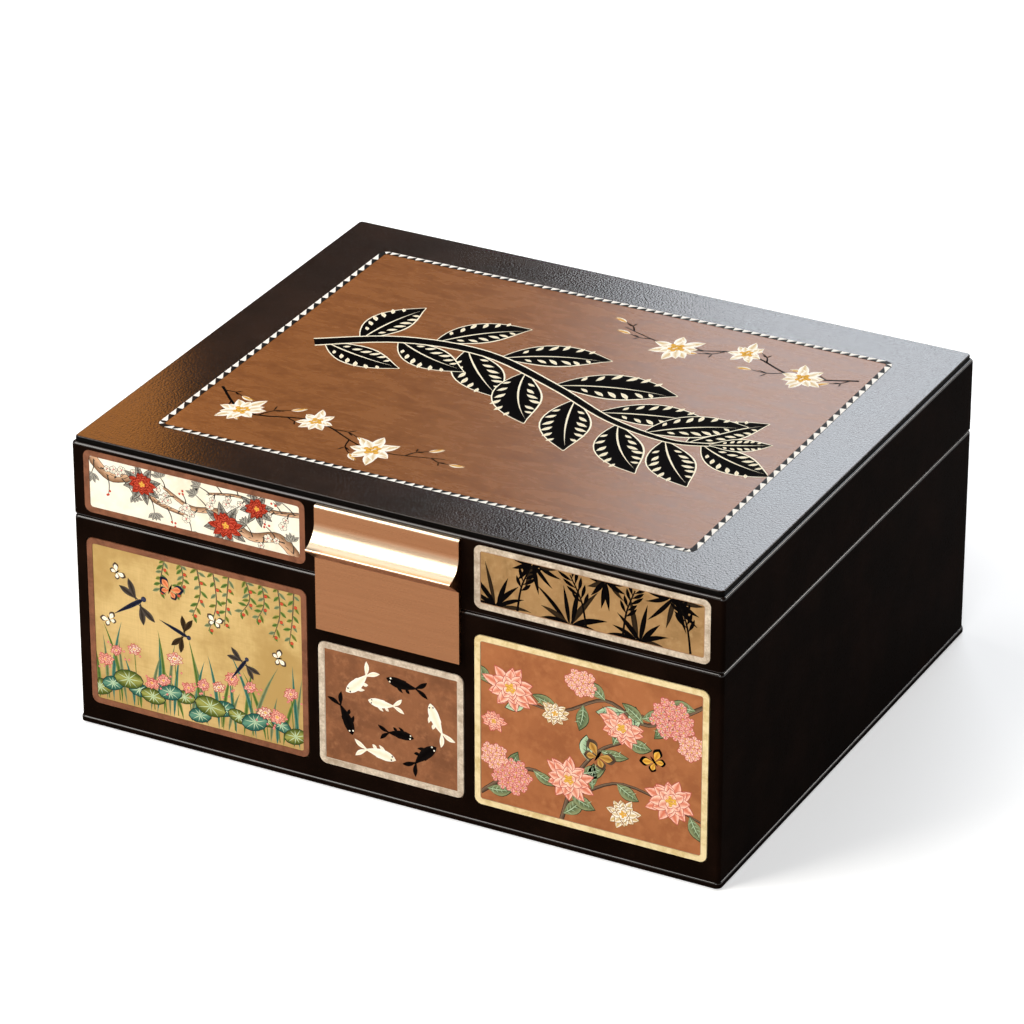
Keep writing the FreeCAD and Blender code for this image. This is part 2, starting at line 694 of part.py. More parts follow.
def hinges():
    half = HINGE_LENGTH / 2
    mid = KNUCKLE_LENGTH / 2
    lid_knuckles = [(-mid, mid)]
    base_knuckles = [(-half, -mid - KNUCKLE_GAP), (mid + KNUCKLE_GAP, half)]
    lid_room = [(-mid - KNUCKLE_GAP, mid + KNUCKLE_GAP)]
    base_room = [(-half, -mid), (mid, half)]
    base_leaves, lid_leaves, pins = [], [], []
    for s in (-1, 1):
        x = s * HINGE_SPACING / 2
        base_leaves.append(hinge_leaf(x, -1, base_knuckles, lid_room, PIN_RADIUS))
        lid_leaves.append(hinge_leaf(x, 1, lid_knuckles, base_room, PIN_RADIUS + PIN_FIT))
        pins.append(rod_x(x - half, x + half, pivot_y, pivot_z, PIN_RADIUS))
    save("hinge_base_leaves", *base_leaves)
    save("hinge_lid_leaves", *lid_leaves)
    save("hinge_pins", *pins)
    save("hinge_base_screws", *leaf_screws(-1))
    save("hinge_lid_screws", *leaf_screws(1))


os.makedirs("parts", exist_ok=True)
underside()
base_body()
inside_boards()
drawer_runners()
drawer_stops()
latches()
for drawer_name in DRAWERS:
    drawer(drawer_name)
collar()
tray()
lid_body()
lid_top()
lid_inside()
clasp()
hinges()
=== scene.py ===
from functools import cache
from math import atan2, copysign, cos, degrees, hypot, pi, radians, sin, sqrt
from random import Random
import json

import bmesh
import bpy
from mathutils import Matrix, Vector

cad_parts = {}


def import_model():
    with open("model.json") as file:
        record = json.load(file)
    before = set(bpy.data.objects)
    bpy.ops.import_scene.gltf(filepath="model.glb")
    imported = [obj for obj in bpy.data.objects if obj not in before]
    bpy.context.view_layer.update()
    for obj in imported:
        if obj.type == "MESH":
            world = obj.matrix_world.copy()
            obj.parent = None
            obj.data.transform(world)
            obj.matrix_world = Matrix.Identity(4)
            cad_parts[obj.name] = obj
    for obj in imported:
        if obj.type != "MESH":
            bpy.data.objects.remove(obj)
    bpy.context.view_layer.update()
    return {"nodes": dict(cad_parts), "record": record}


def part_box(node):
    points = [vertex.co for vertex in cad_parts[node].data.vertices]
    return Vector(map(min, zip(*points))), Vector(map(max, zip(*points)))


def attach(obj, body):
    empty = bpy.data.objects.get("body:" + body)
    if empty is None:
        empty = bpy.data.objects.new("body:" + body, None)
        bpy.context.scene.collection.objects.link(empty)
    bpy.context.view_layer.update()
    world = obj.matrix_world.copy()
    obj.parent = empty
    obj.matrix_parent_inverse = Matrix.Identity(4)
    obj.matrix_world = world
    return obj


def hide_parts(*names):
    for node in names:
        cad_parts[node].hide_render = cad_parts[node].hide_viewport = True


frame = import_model()

MM = 0.001


# Shader maths, written as expressions


class Value:
    """A socket that carries a number; an expression on it adds Math nodes."""

    def __init__(self, nodes, socket):
        self.nodes = nodes
        self.socket = socket

    def maths(self, operation, *values):
        return self.nodes.value("Math", 0, {"operation": operation}, dict(enumerate(values)))

    def __add__(self, other):
        return self.maths("ADD", self, other)

    def __sub__(self, other):
        return self.maths("SUBTRACT", self, other)

    def __rsub__(self, other):
        return self.maths("SUBTRACT", other, self)

    def __mul__(self, other):
        return self.maths("MULTIPLY", self, other)

    __radd__ = __add__
    __rmul__ = __mul__

    def size(self):
        return self.maths("ABSOLUTE", self)

    def larger(self, other):
        return self.maths("MAXIMUM", self, other)

    def above(self, low, high):
        """0 below low, 1 above high, smooth between."""
        settings = {"interpolation_type": "SMOOTHSTEP"}
        sockets = {"Value": self, "From Min": low, "From Max": high}
        return self.nodes.value("MapRange", "Result", settings, sockets)


class Nodes:
    """A node tree, and the one way that nodes are added to it."""

    def __init__(self, tree):
        self.tree = tree

    def node(self, kind, settings=None, sockets=None):
        """A new node: its kind, its settings, and what goes into its sockets."""
        node = self.tree.nodes.new("ShaderNode" + kind)
        for name, setting in (settings or {}).items():
            setattr(node, name, setting)
        for key, value in (sockets or {}).items():
            self.feed(node.inputs[key], value)
        return node

    def value(self, kind, output, settings=None, sockets=None):
        """One output of a new node, as a number."""
        return Value(self, self.node(kind, settings, sockets).outputs[output])

    def feed(self, socket, value):
        if isinstance(value, Value):
            value = value.socket
        if isinstance(value, bpy.types.NodeSocket):
            self.tree.links.new(value, socket)
        elif isinstance(value, (int, float)) or len(value) == len(socket.default_value):
            socket.default_value = value
        else:
            socket.default_value = (*value, 1)

    def axes(self, vector):
        """The three parts of a vector, as numbers."""
        parts = self.node("SeparateXYZ", None, {0: vector}).outputs
        return [Value(self, parts[axis]) for axis in "XYZ"]

    def seen(self):
        """1 where the camera looks, straight or by way of a reflection or a clear piece, else 0."""
        rays = self.node("LightPath").outputs
        share = Value(self, rays["Is Camera Ray"])
        for kind in ("Is Glossy Ray", "Is Transmission Ray"):
            share = share.larger(Value(self, rays[kind]))
        return share


def shade(colour):
    """A colour as seen on a screen, 0 to 255, turned into what a shader takes. A socket stays as it is."""
    if isinstance(colour, bpy.types.NodeSocket):
        return colour
    shares = (part / 255 for part in colour)
    return [share / 12.92 if share <= 0.04045 else ((share + 0.055) / 1.055) ** 2.4 for share in shares]


class Finish(Nodes):
    """A material round one Principled shader, with the nodes that vary it."""

    def __init__(self, name, roughness=0.5, metallic=0, specular=0.5, **constants):
        self.material = bpy.data.materials.new(name)
        self.material.use_nodes = True
        super().__init__(self.material.node_tree)
        self.shader = self.tree.nodes["Principled BSDF"]
        self.place = None
        constants |= {"Roughness": roughness, "Metallic": metallic, "Specular IOR Level": specular}
        for socket, constant in constants.items():
            self.set(socket, constant)

    def set(self, socket, value):
        self.feed(self.shader.inputs[socket], value)
        return self

    def point(self, stretch=(1, 1, 1)):
        """The surface point, in metres on the part, scaled along each axis."""
        if self.place is None:
            self.place = self.node("TexCoord").outputs["Object"]
        sockets = {0: self.place, 1: stretch}
        return self.node("VectorMath", {"operation": "MULTIPLY"}, sockets).outputs[0]

    def normal(self):
        """The three parts of the direction that the surface faces, on the part itself."""
        return self.axes(self.node("TexCoord").outputs["Normal"])

    def noise(self, cell_mm, detail=3, roughness=0.55, stretch=(1, 1, 1), distortion=0):
        sockets = {"Vector": self.point(stretch), "Scale": 1 / (cell_mm * MM), "Detail": detail,
                   "Roughness": roughness, "Distortion": distortion}
        return self.value("TexNoise", "Fac", None, sockets)

    def pebbles(self, cell_mm):
        """Rounded cells of a wavy outline: the distance from each one's middle."""
        where = self.point()
        push = self.node("TexNoise", None, {"Vector": where, "Scale": 0.7 / (cell_mm * MM)})
        sockets = {0: push.outputs["Color"], "Scale": 0.5 * cell_mm * MM}
        shift = self.node("VectorMath", {"operation": "SCALE"}, sockets).outputs[0]
        moved = self.node("VectorMath", {"operation": "ADD"}, {0: where, 1: shift}).outputs[0]
        sockets = {"Vector": moved, "Scale": 1 / (cell_mm * MM)}
        return self.value("TexVoronoi", "Distance", {"feature": "SMOOTH_F1"}, sockets)

    def mix(self, share, first, second):
        """Two colours mixed by a share."""
        sockets = {0: share, 6: shade(first), 7: shade(second)}
        return self.node("Mix", {"data_type": "RGBA"}, sockets).outputs[2]

    def rounded_edge(self):
        """1 where a side turns into the top or the underside, 0 on flats and upright corners."""
        x, y, z = (part.size() for part in self.normal())
        return ((x + y) * z).above(0.12, 0.4)

    def tone(self):
        """The shade that a printed shape carries in its points, from 0 to 1."""
        return self.value("Attribute", "Fac", {"attribute_name": "tone"})

    def bump(self, height, distance_mm):
        sockets = {"Height": height, "Distance": distance_mm * MM, "Strength": 1}
        return self.set("Normal", self.node("Bump", None, sockets).outputs["Normal"])

    def colour(self, share, first, second):
        """The base colour, mixed of two by a share."""
        return self.set("Base Color", self.mix(share, first, second))

    def show(self, shader):
        """The whole surface comes from this shader node."""
        self.feed(self.tree.nodes["Material Output"].inputs["Surface"], shader.outputs[0])

    def painted_shade_sides(self, colour):
        """Painted shade: a dull surface of a darker colour where the piece doesn't face up, so its sides
        read darker than its top.
        """
        side = 1 - self.normal()[2].above(0.5, 0.95)
        sockets = {"Base Color": shade(colour), "Roughness": 0.6, "IOR": 1.1}
        painted_shade_shader = self.node("BsdfPrincipled", None, sockets)
        sockets = {0: side, 1: self.shader.outputs[0], 2: painted_shade_shader.outputs[0]}
        self.show(self.node("MixShader", None, sockets))


# Finishes


def grained_leather(name, colour, worn, grain_mm, depth_mm, roughness, burnish=0, **constants):
    """Leatherette: rounded pebbles with creases between them, patchy, and burnished on rounded edges."""
    finish = Finish(name, **constants)
    pebbles = finish.pebbles(grain_mm)
    creases = finish.noise(grain_mm * 1.2, detail=1)
    patches = finish.noise(28, detail=4, roughness=0.6)
    finish.bump(creases - pebbles * 0.35, depth_mm)
    edge = finish.rounded_edge()
    colour = finish.mix(patches.above(0.35, 0.75), colour, worn)
    finish.colour(edge * 0.5, colour, worn)
    finish.set("Roughness", (patches - 0.5) * 0.04 + (creases - 0.5) * 0.14 + roughness)
    return finish.set("Coat Weight", edge * burnish)


def mottled(name, dark, mid, light, patch_mm, roughness=0.5, stretch=(1, 1, 1), grain_mm=0.35, grain=0.16,
            specular=0.15):
    """Dyed suede or printed leather: cloudy patches over a fine nap."""
    finish = Finish(name, specular=specular)
    clouds = finish.noise(patch_mm, detail=6, roughness=0.62, stretch=stretch, distortion=0.4)
    streaks = finish.noise(patch_mm * 0.22, detail=4, roughness=0.6, stretch=stretch)
    nap = finish.noise(grain_mm, detail=2)
    colour = finish.mix(clouds.above(0.32, 0.62), dark, mid)
    colour = finish.mix(streaks.above(0.45, 0.78) * 0.7, colour, light)
    finish.colour(nap.above(0.3, 0.7) * grain, colour, dark)
    finish.bump(nap + streaks * 0.4, 0.02)
    return finish.set("Roughness", (clouds - 0.5) * 0.15 + roughness)


def printed_border(name, dark, light, grain=0.16):
    """The coloured frame round a picture, printed on leather, with coarse specks in some."""
    return mottled(name, dark, light, light, 5, 0.45, grain_mm=0.9, grain=grain)


def silk(name, dark, light):
    """Old gold silk: a fine upright weave, with darker stains."""
    finish = Finish(name, specular=0.15)
    thread = finish.noise(0.5, detail=2, stretch=(1, 1, 0.03))
    weft = finish.noise(0.5, detail=1, stretch=(0.03, 1, 1))
    stains = finish.noise(34, detail=5, roughness=0.65)
    clouds = finish.noise(22, detail=6, roughness=0.62, distortion=0.4)
    colour = finish.mix(stains.above(0.38, 0.66), dark, light)
    weave = (thread + weft) * 0.5
    finish.colour(weave.above(0.4, 0.62) * 0.22, colour, dark)
    finish.bump(weave, 0.02)
    return finish.set("Roughness", (clouds - 0.5) * 0.15 + 0.5)


def velvet(name, dark, light):
    """Short pile with a soft sheen, brushed one way in places and the other way in others."""
    finish = Finish(name, 0.85, specular=0.2, **{"Sheen Weight": 0.35, "Sheen Roughness": 0.4})
    pile = finish.noise(0.3, roughness=0.7)
    brushed = finish.noise(24, stretch=(1, 0.6, 1), distortion=0.3)
    finish.colour((pile * 0.6 + brushed * 0.4).above(0.35, 0.7), dark, light)
    return finish.bump(pile, 0.12)


def felt(name, dark, light):
    finish = Finish(name, 0.95, specular=0.15)
    fibres = finish.noise(1.6, roughness=0.6, distortion=0.6)
    finish.colour(fibres.above(0.35, 0.7), dark, light)
    return finish.bump(fibres, 0.08)


def brushed_metal(name, dark, light, roughness, painted_highlight=None):
    """Plated metal with a fine brushed grain along the part; what faces up can take a paler colour, a
    painted highlight.
    """
    finish = Finish(name, roughness, 1)
    along_part = (0.012, 1, 1)
    strokes = finish.noise(0.22, roughness=0.6, stretch=along_part)
    broad = finish.noise(1.8, stretch=along_part)
    clouds = finish.noise(12)
    colour = finish.mix(strokes * 0.5 + broad * 0.5, dark, light)
    if painted_highlight:
        # Paler colour on faces that turn up: painted highlight.
        up = finish.normal()[2]
        colour = finish.mix(up.above(0, 0.6), colour, painted_highlight)
    finish.set("Base Color", colour)
    finish.bump(strokes, 0.006)
    return finish.set("Roughness", strokes * 0.14 + clouds * 0.05 + (roughness - 0.08))


def stained_wood(name, dark, light):
    """Stained wood with its grain along the drawer."""
    finish = Finish(name)
    lengthwise = (1, 0.05, 1)
    rings = finish.noise(3, detail=5, roughness=0.6, stretch=lengthwise, distortion=0.8)
    pores = finish.noise(0.4, detail=2, stretch=lengthwise)
    finish.colour(rings.above(0.35, 0.68), dark, light)
    finish.bump(rings * 0.5 + pores * 0.5, 0.05)
    return finish.set("Roughness", pores * 0.2 + 0.42)


def fibreboard(name):
    finish = Finish(name, 0.8)
    flecks = finish.noise(0.8, detail=5, roughness=0.75)
    clouds = finish.noise(18)
    colour = finish.mix(flecks.above(0.38, 0.66), (150, 118, 84), (188, 156, 116))
    finish.colour(clouds.above(0.4, 0.7) * 0.3, colour, (132, 100, 70))
    return finish.bump(flecks, 0.05)


def moulded(name, dark, light, specular=0.5):
    finish = Finish(name, specular=specular)
    spark = finish.noise(0.25, detail=2)
    flow = finish.noise(9)
    finish.colour(flow.above(0.35, 0.7), dark, light)
    finish.bump(spark, 0.02)
    return finish.set("Roughness", spark * 0.1 + flow * 0.08 + 0.36)


def silvered_glass(name):
    """A mirror with faint smears."""
    finish = Finish(name, metallic=1)
    smears = finish.noise(24, detail=4, distortion=1)
    finish.colour(smears.above(0.5, 0.8), (226, 231, 232), (214, 220, 222))
    return finish.set("Roughness", smears.above(0.55, 0.85) * 0.05 + 0.015)


LEATHER_TOP = grained_leather(
    "leather_top", (34, 20, 10), (46, 28, 16), grain_mm=0.78, depth_mm=0.092, roughness=0.21
)
# The top leather's sides take a near-black colour here: painted shade.
LEATHER_TOP.painted_shade_sides((6, 4, 3))
LEATHER_SIDE = grained_leather(
    "leather_side", (15, 8, 5), (25, 14, 9), grain_mm=0.8, depth_mm=0.06, roughness=0.3, burnish=1,
    specular=0.005, IOR=1.2, **{"Coat Roughness": 0.16}
)

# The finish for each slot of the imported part.
FINISHES = {
    "leather_black": LEATHER_SIDE,
    "board": fibreboard("fibreboard"),
    "felt_black": felt("felt_black", (24, 24, 26), (58, 58, 62)),
    "drawer_wood": stained_wood("stained_wood", (52, 33, 23), (92, 60, 42)),
    "velvet_brown": velvet("velvet_brown", (104, 76, 58), (150, 116, 90)),
    "suede_brown": mottled(
        "suede_panel", (121, 73, 37), (142, 89, 45), (156, 102, 57), 7,
        roughness=0.27, stretch=(0.4, 1, 1), grain_mm=0.6, grain=0.4, specular=0.2
    ),
    "banding_cream": moulded("banding_black", (8, 7, 6), (20, 17, 15), 0.06),
    "border_russet": printed_border("border_russet", (104, 62, 40), (134, 84, 58)),
    "border_beige": printed_border("border_beige", (164, 144, 122), (220, 204, 182), 0.5),
    "border_gold": printed_border("border_gold", (206, 180, 124), (234, 214, 166)),
    "picture_cream": mottled("ground_cream", (232, 220, 194), (246, 238, 218), (250, 244, 230), 20),
    "picture_khaki": mottled("ground_khaki", (140, 106, 64), (164, 126, 80), (182, 146, 98), 14),
    "picture_ochre": silk("ground_ochre", (178, 144, 84), (212, 180, 118)),
    "picture_umber": mottled("ground_umber", (112, 68, 40), (138, 87, 54), (160, 106, 70), 12),
    "picture_terracotta": mottled("ground_terracotta", (146, 86, 48), (166, 102, 60), (178, 114, 70), 16),
    # The last colour of rose_gold is a painted highlight on the faces of the clasp's lip that turn up.
    "rose_gold": brushed_metal("rose_gold", (136, 91, 61), (164, 114, 80), 0.27, (228, 204, 174)),
    "hinge_gold": brushed_metal("hinge_gold", (176, 132, 88), (210, 168, 122), 0.32),
    "steel": brushed_metal("steel", (160, 160, 164), (200, 200, 204), 0.3),
    "magnet": brushed_metal("magnet", (176, 176, 180), (212, 212, 216), 0.2),
    "latch_black": moulded("latch_black", (22, 22, 24), (40, 40, 43)),
    "latch_grey": moulded("latch_grey", (120, 120, 124), (152, 152, 156)),
    "mirror_glass": silvered_glass("mirror_glass"),
}


def dress_nodes():
    """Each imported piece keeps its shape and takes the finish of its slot."""
    for row in frame["record"]["subparts"]:
        finish = FINISHES[row["material_slot"]]
        if row["node"] == "lid_top_leather":
            finish = LEATHER_TOP
        for slot in frame["nodes"][row["node"]].material_slots:
            slot.material = finish.material


# Printing inks: the shade of each at tone 0 and at tone 1

INKS = {
    "black": ((7, 5, 5), (20, 16, 14)),
    "charcoal": ((44, 38, 34), (86, 76, 68)),
    "cream": ((214, 190, 140), (246, 238, 214)),
    "ivory": ((236, 222, 190), (252, 247, 232)),
    "bone": ((214, 206, 192), (246, 243, 236)),
    "amber": ((186, 122, 30), (232, 182, 82)),
    "twig": ((74, 58, 46), (122, 100, 80)),
    "red": ((150, 40, 26), (206, 84, 60)),
    "pink": ((206, 112, 100), (242, 196, 182)),
    "rose": ((178, 74, 70), (226, 146, 134)),
    "sage": ((84, 96, 66), (146, 154, 110)),
    "green": ((58, 84, 40), (126, 146, 72)),
    "teal": ((38, 84, 74), (96, 142, 118)),
    "ochre": ((140, 92, 34), (206, 160, 84)),
    "indigo": ((24, 26, 40), (62, 66, 88)),
    "coral": ((196, 92, 48), (232, 150, 104)),
    "bark": ((128, 92, 66), (212, 170, 134)),
    "ash": ((84, 80, 74), (176, 170, 156)),
    "shell": ((168, 150, 128), (244, 234, 214)),
    "soot": ((40, 30, 20), (70, 54, 36)),
    "fern": ((70, 84, 34), (152, 152, 78)),
    "pine": ((40, 52, 38), (70, 84, 62)),
    "blush": ((214, 140, 120), (248, 214, 196)),
    "celadon": ((150, 176, 140), (196, 214, 176)),
    "petal": ((204, 172, 108), (255, 251, 240)),
    "peach": ((214, 120, 92), (252, 214, 190)),
    "scarlet": ((96, 20, 14), (130, 34, 24)),
    "moss": ((72, 88, 62), (128, 140, 98)),
}


@cache
def ink(name):
    """Printing ink: lighter where the shape's own tone is high, with thin places."""
    finish = Finish("ink_" + name, specular=0.03, IOR=1.15)
    thin = finish.noise(1.6, detail=4, roughness=0.6)
    share = finish.tone() + (thin - 0.5) * 0.5
    finish.colour(share.above(0, 1), *INKS[name])
    finish.bump(thin, 0.01)
    return finish.set("Roughness", thin * 0.15 + 0.42)


# Lines and places on a picture


def towards(x, y, angle, distance):
    """The point at a distance from another one, along an angle."""
    heading = radians(angle)
    return x + distance * cos(heading), y + distance * sin(heading)


def flattened(angle, squash):
    """How far a round of radius 1 reaches along an angle when its upright axis shrinks to squash."""
    x, y = towards(0, 0, angle, 1)
    return hypot(x, squash * y)


def smooth_line(points, steps):
    """A smooth curve through the points."""
    ends = [points[0], *points, points[-1]]
    line = []
    for i in range(len(points) - 1):
        a, b, c, d = (Vector(p) for p in ends[i : i + 4])
        for k in range(steps):
            t = k / steps
            twice = 2 * b + (c - a) * t + (2 * a - 5 * b + 4 * c - d) * t**2
            twice += (3 * b - a - 3 * c + d) * t**3
            line.append((0.5 * twice.x, 0.5 * twice.y))
    line.append(tuple(points[-1]))
    return line


def along(line, share):
    """The point and the heading at a share of a line's length."""
    i = min(int(share * (len(line) - 1)), len(line) - 2)
    t = share * (len(line) - 1) - i
    (x0, y0), (x1, y1) = line[i], line[i + 1]
    return x0 + (x1 - x0) * t, y0 + (y1 - y0) * t, degrees(atan2(y1 - y0, x1 - x0))


def new_mesh(name, points, faces, finish):
    mesh = bpy.data.meshes.new(name)
    mesh.from_pydata(points, [], faces)
    mesh.materials.append(finish.material)
    return mesh


def add(name, data):
    """A new object in the scene, from a mesh, a lamp or a lens."""
    thing = bpy.data.objects.new(name, data)
    bpy.context.scene.collection.objects.link(thing)
    return thing


def place(name, mesh, body):
    """A new piece from a mesh, with its outward faces set right, riding on a body."""
    work = bmesh.new()
    work.from_mesh(mesh)
    bmesh.ops.recalc_face_normals(work, faces=work.faces)
    work.to_mesh(mesh)
    work.free()
    piece = add(name, mesh)
    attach(piece, body)
    return piece


# Printed shapes: thin closed pieces that lie on a panel


class Print:
    """Shapes for one panel, in millimetres across and up from its middle, each on its own level."""

    LEVEL_MM = 0.002
    SUNK_MM = 0.02
    # Each ring of a full flower: how many petals, how far they reach and how broad they are, in radii.
    PETAL_RINGS = ((10, 1, 0.36), (8, 0.8, 0.36), (6, 0.56, 0.32), (4, 0.34, 0.26))
    # Radians from one floret of a cluster to the next, which spreads them evenly.
    WINDING = 2.4

    def __init__(self, node, flat=False):
        """A flat panel faces up; any other one faces the front."""
        low, high = (Vector(corner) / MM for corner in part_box(node))
        self.middle = (low + high) / 2
        self.flat = flat
        self.half_w = (high.x - low.x) / 2
        self.half_h = (high.y - low.y) / 2 if flat else (high.z - low.z) / 2
        self.surface = high.z if flat else low.y
        self.points, self.tones, self.faces, self.inks = [], [], [], []
        self.used = []

    def spot(self, x, y, height):
        if self.flat:
            return Vector((self.middle.x + x, self.middle.y + y, self.surface + height)) * MM
        return Vector((self.middle.x + x, self.surface - height, self.middle.z + y)) * MM

    def strip(self, rows, colour, level):
        """A strip of rows, each a list of (x, y, tone) from one edge to the other, closed underneath."""
        if colour not in self.used:
            self.used.append(colour)
        number = self.used.index(colour)
        first = len(self.points)
        across = len(rows[0])
        end, last = len(rows) - 1, across - 1
        for height in (self.LEVEL_MM * (level + 1), -self.SUNK_MM):
            for row in rows:
                for x, y, tone in row:
                    x = max(min(x, self.half_w), -self.half_w)
                    y = max(min(y, self.half_h), -self.half_h)
                    self.points.append(self.spot(x, y, height))
                    self.tones.append(tone)

        def face(*corners):
            """Each corner is 0 for the top or 1 for the underside, then its row and its place in the row."""
            self.faces.append([first + (side * len(rows) + i) * across + j for side, i, j in corners])
            self.inks.append(number)

        for i in range(end):
            for j in range(last):
                face((0, i, j), (0, i, j + 1), (0, i + 1, j + 1), (0, i + 1, j))
                face((1, i, j), (1, i + 1, j), (1, i + 1, j + 1), (1, i, j + 1))
            face((0, i, 0), (0, i + 1, 0), (1, i + 1, 0), (1, i, 0))
            face((0, i + 1, last), (0, i, last), (1, i, last), (1, i + 1, last))
        for j in range(last):
            face((0, 0, j + 1), (0, 0, j), (1, 0, j), (1, 0, j + 1))
            face((0, end, j), (0, end, j + 1), (1, end, j + 1), (1, end, j))

    def leaf(self, x, y, angle, length, width, colour, level, tones=(0.15, 0.85), bend=0, blunt=1,
             steps=9):
        """A blade from a point along an angle, with one tone along its middle and one at its edges.
        Blunt above 1 moves its widest place outwards."""
        rows = []
        inner, outer = tones
        heading = radians(angle)
        for i in range(steps + 1):
            share = i / steps
            turn = heading + bend * share
            if i:
                x += cos(turn) * length / steps
                y += sin(turn) * length / steps
            half = width / 2 * max(sin(pi * share**blunt), 0.03)
            side_x, side_y = -sin(turn) * half, cos(turn) * half
            rows.append([(x - side_x, y - side_y, outer), (x, y, inner), (x + side_x, y + side_y, outer)])
        self.strip(rows, colour, level)
        return x, y, degrees(turn)

    def edged_leaf(self, x, y, angle, length, width, rim, colour, level, tones, bend=0, blunt=1,
                   line_mm=0.5):
        """A blade with a fine line of another colour round it."""
        self.leaf(x, y, angle, length + line_mm, width + line_mm, rim, level, (0.2, 0.2), bend, blunt, 7)
        self.leaf(x, y, angle, length, width, colour, level + 1, tones, bend, blunt, 7)

    def veined_leaf(self, x, y, angle, length, width, rim, colour, vein, level, bend=0):
        """A broad edged blade with a rib and four pairs of side veins."""
        self.edged_leaf(x, y, angle, length, width, rim, colour, level, (0.1, 0.8), bend)
        self.leaf(x, y, angle, length * 0.9, 0.4, vein, level + 2, (0.6, 0.6), bend, 0.7, 5)
        for i in range(1, 5):
            turn = angle + degrees(bend * i / 5)
            root = towards(x, y, turn, length * i / 6)
            for side in (-1, 1):
                self.leaf(*root, turn + side * 42, width * 0.42, 0.3, vein, level + 2,
                          (0.3, 0.3), side * 0.3, 0.7, 3)

    def full_flower(self, x, y, radius, rim, colour, level, turn, vary, squash=0.75):
        """Layered pointed petals, each with a fine line round it. Squash shows it from the side."""
        for ring, (petals, reach, broad) in enumerate(self.PETAL_RINGS):
            tones = (0.12 * ring, 0.8 + 0.05 * ring)
            for i in range(petals):
                lean = 360 * (i + 0.5 * ring) / petals + vary(-8, 8)
                long = radius * reach * flattened(lean, squash) * vary(0.86, 1.06)
                above = level + 4 * ring + 2 * (i % 2)
                self.edged_leaf(x, y, lean + turn, long, radius * broad, rim, colour, above, tones,
                                vary(-0.35, 0.35), 1.25, 0.35)
        self.stamens(x, y, turn, radius * 0.07, radius * 0.15, radius * 0.06, level + 16, 3)

    def stamens(self, x, y, turn, near, far, radius, level, levels):
        """Nine amber dots round the middle of a flower, by turns near and far."""
        for i in range(9):
            spot = towards(x, y, turn + 40 * i, near if i % 2 else far)
            self.dot(*spot, radius, "amber", level + i % levels)

    def cluster(self, x, y, radius, rim, colour, level, vary, count):
        """A head of small four-petalled florets."""
        for k in range(count):
            reach = radius * sqrt((k + 0.5) / count)
            fx, fy = x + reach * cos(self.WINDING * k), y + reach * sin(self.WINDING * k) * 0.9
            turn = vary(0, 90)
            for i in range(4):
                self.edged_leaf(fx, fy, turn + 90 * i, 1.9, 1.7, rim, colour, level + 2 * (k % 7),
                                (0, 0.9), blunt=1.5, line_mm=0.3)
            self.dot(fx, fy, 0.35, "amber", level + 14)

    def stem(self, points, start, end, colour, level, tones=(0.1, 0.7)):
        """A tapering line through the points, start and end millimetres wide."""
        line = smooth_line(points, 6)
        rows = []
        for i, (x, y) in enumerate(line):
            share = i / (len(line) - 1)
            before, after = line[max(i - 1, 0)], line[min(i + 1, len(line) - 1)]
            turn = atan2(after[1] - before[1], after[0] - before[0])
            half = (start + (end - start) * share) / 2
            side_x, side_y = -sin(turn) * half, cos(turn) * half
            rows.append([(x - side_x, y - side_y, tones[0]), (x + side_x, y + side_y, tones[1])])
        self.strip(rows, colour, level)
        return line

    def dot(self, x, y, radius, colour, level, tones=(0.9, 0.3), squash=1, turn=0):
        """A small round spot, with one tone across its middle and one at its rim."""
        rows = []
        steps = 6
        c, s = cos(radians(turn)), sin(radians(turn))
        for i in range(steps + 1):
            step = -cos(pi * i / steps)
            half = sin(pi * i / steps) * squash + 0.02
            row = []
            for side, tone in ((-half, tones[1]), (0, tones[0]), (half, tones[1])):
                row.append((x + radius * (step * c - side * s), y + radius * (step * s + side * c), tone))
            rows.append(row)
        self.strip(rows, colour, level)

    def make(self, name, body):
        first, *others = (ink(colour) for colour in self.used)
        mesh = new_mesh(name, self.points, self.faces, first)
        for finish in others:
            mesh.materials.append(finish.material)
        mesh.polygons.foreach_set("material_index", self.inks)
        tone = mesh.attributes.new("tone", "FLOAT", "POINT")
        tone.data.foreach_set("value", self.tones)
        place(name, mesh, body)


# The pictures


def bold_leaf(art, x, y, angle, length, width, level, bend, vary):
    """A large black leaf with a cream rim, a cream rib and cream flecks."""
    rim = 1.3
    foot = towards(x, y, angle, -rim / 2)
    art.leaf(*foot, angle, length + rim, width + rim, "cream", level, (0.6, 1), bend, steps=14)
    art.leaf(x, y, angle, length, width, "black", level + 1, (0, 0.5), bend, steps=14)
    art.leaf(x, y, angle, length * 0.92, 0.8, "cream", level + 2, (0.7, 0.9), bend, 0.7)
    for i in range(2, 8):
        share = i / 9
        bent = degrees(bend * share)
        rib = towards(x, y, angle + bent / 2, length * share)
        room = width / 2 * sin(pi * share)
        for side in (-1, 1):
            fleck = towards(*rib, angle + bent + 90, room * vary(0.42, 0.6) * side)
            lean = angle + bent + side * vary(28, 46)
            art.leaf(*fleck, lean, room * 0.62, 0.9 + room * 0.12, "cream", level + 3, (0.5, 1),
                     side * 0.4)


